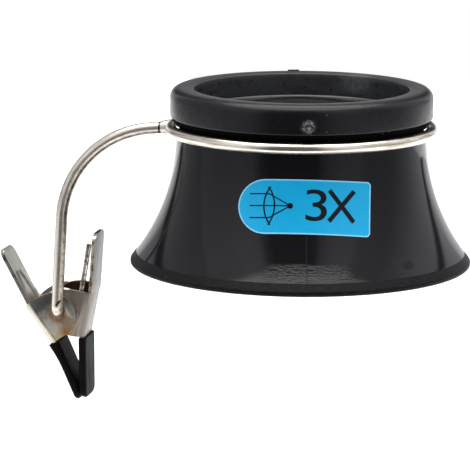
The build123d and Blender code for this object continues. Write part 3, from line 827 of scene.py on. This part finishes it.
# The side that faces the eyecup: brown tarnish and painted shade
side = band(tree, around, TARNISH_AND_SHADE_MIDDLE, reach=0.08, fade=0.08)
place = add(tree, "TexCoord", {}, "Object")
mottle = add(tree, "TexNoise", {"Vector": place, "Scale": 1600.0, "Detail": 5.0, "Roughness": 0.7})
mottle = add(tree, "MapRange", {0: mottle, 1: 0.35, 2: 0.62, 3: 0.45, 4: 0.95})
side = add(tree, "Math", {0: side, 1: mottle}, operation="MULTIPLY")
colour = add(tree, "Mix", {0: side, 6: colour, 7: "5C5047"}, 2, data_type="RGBA")
residue = band(tree, add(tree, "SeparateXYZ", {0: place}), root.x - RESIDUE, reach=0.00006, fade=0.0001)
nick = {"Vector": place, "Location": NICK_PLACE, "Rotation": (0, NICK_TURN, 0), "Scale": NICK_SIZE}
nick = add(tree, "Mapping", nick, vector_type="TEXTURE")
nick = add(tree, "VectorMath", {0: nick}, "Value", operation="LENGTH")
nick = add(tree, "MapRange", {0: nick, 1: 0.75, 2: 1.0, 3: 1.0, 4: 0.0})
brown = add(tree, "Math", {0: residue, 1: nick}, operation="MAXIMUM")
colour = add(tree, "Mix", {0: brown, 6: colour, 7: "2E2018"}, 2, data_type="RGBA")
give(shader, {"Base Color": colour})
coat(arm, arm_plate)
settle(arm, "arm", ["arm_wire"])


# Soft solder fixes the arm's end to the ring: a small cone of tin-lead that ran into the corner of the
# two wires and was wiped while hot.
SOLDER_EASE = 0.0001


def refined(node, name, bevel=0.0, segments=2):
    """A copy of a plain solid with its flat faces whole again and its edges eased."""
    deselect()
    source = frame["nodes"][node]
    made = source.copy()
    made.data = source.data.copy()
    made.name = name
    made.parent = None
    for key in list(made.keys()):
        del made[key]
    bpy.context.scene.collection.objects.link(made)
    choose(made)
    open_whole()
    bpy.ops.mesh.customdata_custom_splitnormals_clear()
    bpy.ops.mesh.remove_doubles(threshold=1e-6)
    bpy.ops.mesh.dissolve_limited(angle_limit=math.radians(1))
    bpy.ops.object.mode_set(mode="OBJECT")
    if bevel:
        modified("BEVEL", width=bevel, segments=segments, limit_method="ANGLE", angle_limit=math.radians(50))
    return made


solder = refined("solder_joint", "solder", SOLDER_EASE, 3)
# Wiped solder is a dull silver with a soft, broad gleam
tin = finish("wiped tin solder", Base_Color="D2CEC4", Metallic=1.0, Roughness=0.32)[0]
coat(solder, tin)
settle(solder, "arm", ["solder_joint"])


# Each clip half is blanked from 0.45 mm steel strip, folded to a channel with two ears, and nickel
# plated. The outer half's ears lie outside those of the inner half, and the pin joins all four.
CLIP_LEAN = math.radians(12.1)
CLIP_CLOSED = math.radians(11.7)
SHEET = 0.00045
SHEET_EASE = 0.00004
INNER_EAR = 0.00307
KNEE = (0.00252, -0.00335)
WEB_SLOPE = 0.204
ROLLING = (1 / 0.00025, 1 / 0.00025, 1 / 0.004)
EAR_TOP = 0.0022
FOLD_EDGE = -0.0007
RUST_RING = 0.00105
RUST_SHIFT = (0.00015, 0, 0.0003)
HANDLE_FOOT = 0.0015
EDGE_BORDER = 0.00001
HANDLE_BORDER = 0.0001


def sheet_metal(name, side, turn, ear, colours):
    """Nickel-plated strip: tones by height, on the handle and on the fold that are painted light and shade,
    rolled streaks, painted shade and brown inside, rust round the pin.
    """
    top, middle, low, handle, fold, inside = colours
    made, tree, shader = finish(name, Metallic=1.0)
    place = add(tree, "TexCoord", {}, "Object")
    local = add(tree, "VectorMath", {0: place, 1: PIN}, operation="SUBTRACT")
    along = add(tree, "Mapping", {"Vector": local, "Rotation": (0, turn, 0)}, vector_type="POINT")
    rolled = add(tree, "VectorMath", {0: along, 1: ROLLING}, operation="MULTIPLY")
    lines = add(tree, "TexNoise", {"Vector": rolled, "Scale": 1.0, "Detail": 5.0, "Roughness": 0.6})
    patches = add(tree, "TexNoise", {"Vector": local, "Scale": 900.0, "Detail": 6.0, "Roughness": 0.7})
    sideways, depth, height = add(tree, "SeparateXYZ", {0: along}).node.outputs
    outer = add(tree, "Math", {0: sideways, 1: side}, operation="MULTIPLY")
    depth = add(tree, "Math", {0: depth}, operation="ABSOLUTE")
    # The ear has other tones at its top and at its foot, painted light and shade, with borders clouded at
    # about
    # 1 mm. Heights are from the pin's middle, along the leaning half
    cloudy = add(tree, "Math", {0: patches, 1: 0.003, 2: height}, operation="MULTIPLY_ADD")
    rise = add(tree, "MapRange", {0: cloudy, 1: 0.0013, 2: 0.0026})
    fall = add(tree, "MapRange", {0: cloudy, 1: 0.0008, 2: -0.0012})
    # The fold has a tone of its own, painted light on the round of the bend, with a dark line of painted
    # shade along its inner edge
    web = add(tree, "Math", {0: height, 1: -WEB_SLOPE, 2: outer}, operation="MULTIPLY_ADD")
    web = add(tree, "Math", {0: web, 1: KNEE[1] * WEB_SLOPE - KNEE[0]}, operation="ADD")
    fold_light = add(tree, "MapRange", {0: web, 1: FOLD_EDGE, 2: -0.0005})
    border = band(tree, web, FOLD_EDGE, reach=0.00003, fade=0.00007)
    shade_line_breaks = add(tree, "MapRange", {0: patches, 1: 0.45, 2: 0.6, 3: 0.2, 4: 0.8})
    border = add(tree, "Math", {0: border, 1: shade_line_breaks}, operation="MULTIPLY")
    # The handle has a tone of its own for each half: painted light and shade
    on_handle = add(tree, "MapRange", {0: height, 1: EAR_TOP, 2: 0.0030})
    streaked = add(tree, "MapRange", {0: lines, 1: 0.45, 2: 0.75, 3: 0.0, 4: 0.4})
    # Between the ears the plate is dark brown: painted shade in the channel, with the brown of old oil
    within = add(tree, "MapRange", {0: depth, 1: ear - SHEET, 2: ear - SHEET + 0.0001, 3: 1.0, 4: 0.0})
    below = add(tree, "MapRange", {0: height, 1: EAR_TOP, 2: 0.0034, 3: 1.0, 4: 0.0})
    off_web = add(tree, "MapRange", {0: web, 1: -0.0003, 2: 0.0, 3: 1.0, 4: 0.0})
    for share in (below, off_web):
        within = add(tree, "Math", {0: within, 1: share}, operation="MULTIPLY")
    # Rust round the lower half of the pin's hole, and in spots at the foot of the ear
    flat = add(tree, "VectorMath", {0: local, 1: (1, 0, 1), 2: RUST_SHIFT}, operation="MULTIPLY_ADD")
    from_pin = add(tree, "VectorMath", {0: flat}, "Value", operation="LENGTH")
    uneven = add(tree, "Math", {0: patches, 1: 0.0003, 2: from_pin}, operation="MULTIPLY_ADD")
    ring_share = band(tree, uneven, RUST_RING, reach=0.00012, fade=0.0004)
    mottled = add(tree, "MapRange", {0: patches, 1: 0.3, 2: 0.6, 3: 0.55})
    sunk = add(tree, "SeparateXYZ", {0: local}, 2)
    sunk = add(tree, "MapRange", {0: sunk, 1: -0.0006, 2: 0.0010, 3: 0.95, 4: 0.1})
    for share in (mottled, sunk):
        ring_share = add(tree, "Math", {0: ring_share, 1: share}, operation="MULTIPLY")
    foot_share = add(tree, "MapRange", {0: height, 1: -0.0008, 2: -0.0026})
    inner = add(tree, "MapRange", {0: outer, 1: 0.0013, 2: 0.0004})
    spots = add(tree, "MapRange", {0: patches, 1: 0.40, 2: 0.60, 3: 0.2})
    for share in (inner, spots):
        foot_share = add(tree, "Math", {0: foot_share, 1: share}, operation="MULTIPLY")
    rust = add(tree, "Math", {0: ring_share, 1: foot_share}, operation="MAXIMUM")
    # Tones laid on in turn: painted light and shade by height, the fold's painted light and its painted dark
    # line, the handle's painted tone, rolled streaks, the channel's painted shade and brown, and rust
    base = middle
    for share, tone in (
        (rise, top), (fall, low), (fold_light, fold), (border, "3A3630"), (on_handle, handle),
        (streaked, "6A6058"), (within, inside), (rust, "8A5824"),
    ):
        base = add(tree, "Mix", {0: share, 6: base, 7: tone}, 2, data_type="RGBA")
    rough = add(tree, "MapRange", {0: lines, 1: 0.3, 2: 0.7, 3: 0.26, 4: 0.42})
    dull = add(tree, "Math", {0: rust, 1: within}, operation="MAXIMUM")
    rough = add(tree, "Mix", {0: dull, 2: rough, 3: 0.62})
    bump = add(tree, "Bump", {"Height": lines, "Strength": 0.3, "Distance": RELIEF})
    give(shader, {"Base Color": base, "Roughness": rough, "Normal": bump})
    return made


def sheared(name, bright, dark):
    """The raw edge that the press sheared, torn brown in marks of about 0.7 mm, in the two tones given: one
    copy's tones paint a highlight on the edges, another's paint shade.
    """
    made, tree, shader = finish(name, Metallic=1.0, Roughness=0.4)
    place = add(tree, "TexCoord", {}, "Object")
    torn = add(tree, "TexNoise", {"Vector": place, "Scale": 1500.0, "Detail": 5.0, "Roughness": 0.7})
    share = add(tree, "MapRange", {0: torn, 1: 0.48, 2: 0.62})
    colour = add(tree, "Mix", {0: share, 6: bright, 7: dark}, 2, data_type="RGBA")
    bump = add(tree, "Bump", {"Height": torn, "Strength": 0.5, "Distance": 0.00003})
    give(shader, {"Base Color": colour, "Normal": bump})
    return made


# A cream copy paints a highlight on the ears' edges and the inner half's handle edges, a grey copy paints
# shade on the outer half's handle edges
edge_highlight = sheared("sheared edge with painted highlight", "E4DAC8", "6E5A48")
edge_shade = sheared("sheared edge with painted shade", "86837B", "54504A")
# Tones of each half, top, middle, low, handle, fold and inside, set apart per half as painted light and shade
OUTER_COLOURS = ("72746E", "CCC8BC", "90886E", "BCBAB0", "CEC6B8", "8E8278")
INNER_COLOURS = ("B8AC9C", "A29A90", "7C6E5C", "5E5C57", "7E7870", "34261C")
for node, body, side, turn, ear, colours, handle_edge in (
    ("outer_clip_half", "fixed_jaw", -1, CLIP_LEAN + CLIP_CLOSED, OUTER_EAR, OUTER_COLOURS, edge_shade),
    ("inner_clip_half", "moving_jaw", 1, CLIP_LEAN - CLIP_CLOSED, INNER_EAR, INNER_COLOURS, edge_highlight),
):
    half = refined(node, node.replace("_clip", ""), SHEET_EASE)
    strip = sheet_metal(f"plated strip of the {node.split('_')[0]} half", side, turn, ear, colours)
    coat(half, strip, edge_highlight, handle_edge)
    coat_part(half, 1, lambda place, facing: abs(facing.y) < 0.3 and abs(facing.x) < 0.95
              and facing.x * side < 0.75 and ear - SHEET - EDGE_BORDER < abs(place.y) < ear + EDGE_BORDER)
    coat_part(half, 2, lambda place, facing: abs(facing.y) > 0.7 and place.z > PIN.z + HANDLE_FOOT
              and abs(place.y) < ear - SHEET - HANDLE_BORDER)
    settle(half, body, [node])


# The sleeves are short lengths of black rubber tube, shrunk on the jaws to save the spectacle frame. Cut by
# hand, they have soft edges and stand a little off the metal.
SLEEVE_VOXEL = 0.00009
SLEEVE_FLARE = 0.0004
SLEEVE_TOP = 0.00355
SLEEVE_MIDDLE = 0.00252
FLARE_LENGTH = 0.0035
BLOOM = (1200, 1200, 300)
# Tube rubber is matt and nearly black, with a brown bloom in streaks of about 3 mm down the tube
sleeve_rubber, tree, shader = finish("black rubber tube", Specular_IOR_Level=0.05)
place = add(tree, "TexCoord", {}, "Object")
bloom = add(tree, "VectorMath", {0: place, 1: BLOOM}, operation="MULTIPLY")
bloom = add(tree, "TexNoise", {"Vector": bloom, "Scale": 1.0, "Detail": 5.0, "Roughness": 0.6})
colour = add(tree, "Mix", {0: bloom, 6: "050505", 7: "16120F"}, 2, data_type="RGBA")
rough = add(tree, "MapRange", {0: bloom, 1: 0.3, 2: 0.7, 3: 0.42, 4: 0.6})
bump = add(tree, "Bump", {"Height": bloom, "Strength": 0.5, "Distance": 0.00004})
give(shader, {"Base Color": colour, "Roughness": rough, "Normal": bump})
for node, body in (("outer_jaw_sleeve", "fixed_jaw"), ("inner_jaw_sleeve", "moving_jaw")):
    sleeve = refined(node, node.replace("_jaw", ""))
    modified("REMESH", mode="VOXEL", voxel_size=SLEEVE_VOXEL)
    modified("SMOOTH", factor=0.6, iterations=16)
    if body == "fixed_jaw":
        across = Vector((math.cos(CLIP_LEAN + CLIP_CLOSED), 0, math.sin(CLIP_LEAN + CLIP_CLOSED)))
        down = Vector((across.z, 0, -across.x))
        for vertex in sleeve.data.vertices:
            out, drop = -(vertex.co - PIN).dot(across), (vertex.co - PIN).dot(down)
            if out > SLEEVE_MIDDLE:
                vertex.co -= across * SLEEVE_FLARE * max(0.0, 1 - (drop - SLEEVE_TOP) / FLARE_LENGTH) ** 2
    coat(sleeve, sleeve_rubber)
    settle(sleeve, body, [node], 60)


# The torsion spring is hard-drawn wire wound round the pin, with a straight leg against each handle.
spring = refined("torsion_spring", "spring")
# Drawn spring wire keeps a bright skin, with brown oil and rust in patches of about 1 mm, more of them to
# the right of the pin
spring_wire, tree, shader = finish("hard-drawn spring wire", Metallic=1.0)
place = add(tree, "TexCoord", {}, "Object")
local = add(tree, "VectorMath", {0: place, 1: PIN}, operation="SUBTRACT")
worn = add(tree, "TexNoise", {"Vector": local, "Scale": 900.0, "Detail": 6.0, "Roughness": 0.7})
right = add(tree, "SeparateXYZ", {0: local})
right = add(tree, "MapRange", {0: right, 1: 0.0002, 2: 0.0014, 4: 0.16})
rust = add(tree, "Math", {0: worn, 1: right}, operation="ADD")
rust = add(tree, "MapRange", {0: rust, 1: 0.52, 2: 0.72})
colour = add(tree, "Mix", {0: rust, 6: "F2ECE2", 7: "6E5A44"}, 2, data_type="RGBA")
rough = add(tree, "MapRange", {0: worn, 1: 0.3, 2: 0.7, 3: 0.18, 4: 0.5})
give(shader, {"Base Color": colour, "Roughness": rough})
coat(spring, spring_wire)
smoothed(spring, 60)
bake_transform(spring)
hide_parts("torsion_spring")


# The camera is as far off and as high as the photograph's, with the same small roll and the focal length
# that gives the loupe its size in the picture.
CAMERA_AZIMUTH = math.radians(11)
CAMERA_ELEVATION = math.radians(10.83)
CAMERA_ROLL = math.radians(0.31)
CAMERA_DISTANCE = 0.350
CAMERA_AIM = RING_CENTRE + Vector((-0.007549, -0.001467, -0.01275))
CAMERA_SENSOR = 36
CAMERA_LENS = 227.81
back = Vector((
    math.sin(CAMERA_AZIMUTH) * math.cos(CAMERA_ELEVATION),
    -math.cos(CAMERA_AZIMUTH) * math.cos(CAMERA_ELEVATION),
    math.sin(CAMERA_ELEVATION),
))
deselect()
bpy.ops.object.camera_add(location=CAMERA_AIM + back * CAMERA_DISTANCE)
camera = bpy.context.object
camera.rotation_euler = (back.to_track_quat("Z", "Y") @ Quaternion((0, 0, 1), CAMERA_ROLL)).to_euler()
camera.data.sensor_width = CAMERA_SENSOR
camera.data.lens = CAMERA_LENS
bpy.context.scene.camera = camera

# Studio: a white table whose front edge is near the loupe, in a tent of pale cloth that is brightest
# overhead. The tent opens towards the camera, and its seams and the dark room behind it show as thin
# dark lines in the black plastic. Angles are in degrees from the camera, to the right.
TABLE_DROP = 0.042
TABLE_SIZE = (0.8, 0.7)
TABLE_FRONT = 0.12
TENT = (
    (-180, 0.03), (-170, 0.03), (-162, 0.45), (-148, 0.45), (-145, 0.05), (-141, 0.05), (-138, 0.42),
    (-104, 0.42), (-101, 0.58), (-80, 0.62), (-60, 0.72), (-45, 0.66), (-38, 0.28), (-30, 0.12), (13, 0.12),
    (22, 0.45), (34, 0.66), (52, 0.70), (60, 0.50), (88, 0.42), (104, 0.60), (120, 0.78), (135, 0.75),
    (138, 0.08), (141, 0.08), (144, 0.75), (160, 0.50), (170, 0.03), (180, 0.03),
)
TENT_TINT = (0.97, 0.98, 1.04)
TENT_LEAN = 0.3
TENT_TOP = (0.7, 1.8)
BACKDROP_TOP = (0.07, 0.11)
BACKDROP_SIDES = (0.80, 0.88)
OVERHEAD = 4.0
OVERHEAD_EDGE = (0.79, 0.83)
WHITE = (1, 1, 1, 1)
deselect()
bpy.ops.mesh.primitive_plane_add(
    size=1, location=(RING_CENTRE.x, TABLE_SIZE[1] / 2 - TABLE_FRONT, cad_low.z - TABLE_DROP)
)
table = bpy.context.object
table.name = "table"
table.scale = (*TABLE_SIZE, 1)
bpy.ops.object.transform_apply()
# White card is matt and even
white_card = finish("white card", Base_Color="F6F6F6", Roughness=0.8)[0]
coat(table, white_card)
table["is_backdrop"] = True
tent = bpy.data.worlds.new("tent")
tent.use_nodes = True
tree = tent.node_tree
toward = add(tree, "TexCoord", {}, "Generated")
toward = add(tree, "Mapping", {"Vector": toward, "Rotation": (0, 0, -CAMERA_AZIMUTH)}, vector_type="VECTOR")
right, away, above = add(tree, "SeparateXYZ", {0: toward}).node.outputs
front = add(tree, "Math", {0: away, 1: -1.0}, operation="MULTIPLY")
around = add(tree, "Math", {0: right, 1: front}, operation="ARCTAN2")
lean = add(tree, "Math", {0: above, 1: 0.0}, operation="MAXIMUM")
lean = add(tree, "Math", {0: lean, 1: TENT_LEAN, 2: 1.0}, operation="MULTIPLY_ADD")
around = add(tree, "Math", {0: around, 1: lean}, operation="MULTIPLY")
around = add(tree, "MapRange", {0: around, 1: -math.pi, 2: math.pi})
walls = add(tree, "ValToRGB", {0: around})
ramp = walls.node.color_ramp
for angle, level in TENT[1:-1]:
    ramp.elements.new((angle + 180) / 360)
for stop, (angle, level) in zip(ramp.elements, TENT):
    stop.position = (angle + 180) / 360
    stop.color = (*(level * tint for tint in TENT_TINT), 1)
rise = add(tree, "MapRange", {0: above, 1: 0.0, 2: TENT_TOP[0], 3: 1.0, 4: TENT_TOP[1]})
lit = add(tree, "VectorMath", {0: walls, "Scale": rise}, operation="SCALE")
low = add(tree, "MapRange", {0: above, 1: BACKDROP_TOP[0], 2: BACKDROP_TOP[1], 3: 1.0, 4: 0.0})
behind = add(tree, "MapRange", {0: away, 1: BACKDROP_SIDES[0], 2: BACKDROP_SIDES[1]})
behind = add(tree, "Math", {0: behind, 1: low}, operation="MULTIPLY")
top = add(tree, "MapRange", {0: above, 1: OVERHEAD_EDGE[0], 2: OVERHEAD_EDGE[1]})
seen = add(tree, "LightPath", {}, "Is Camera Ray")
for share, light in ((behind, WHITE), (top, (OVERHEAD, OVERHEAD, OVERHEAD, 1)), (seen, WHITE)):
    lit = add(tree, "Mix", {0: share, 6: lit, 7: light}, 2, data_type="RGBA")
give(tree.nodes["Background"], {0: lit})
bpy.context.scene.world = tent
bpy.context.scene.view_settings.view_transform = "Standard"

low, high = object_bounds()
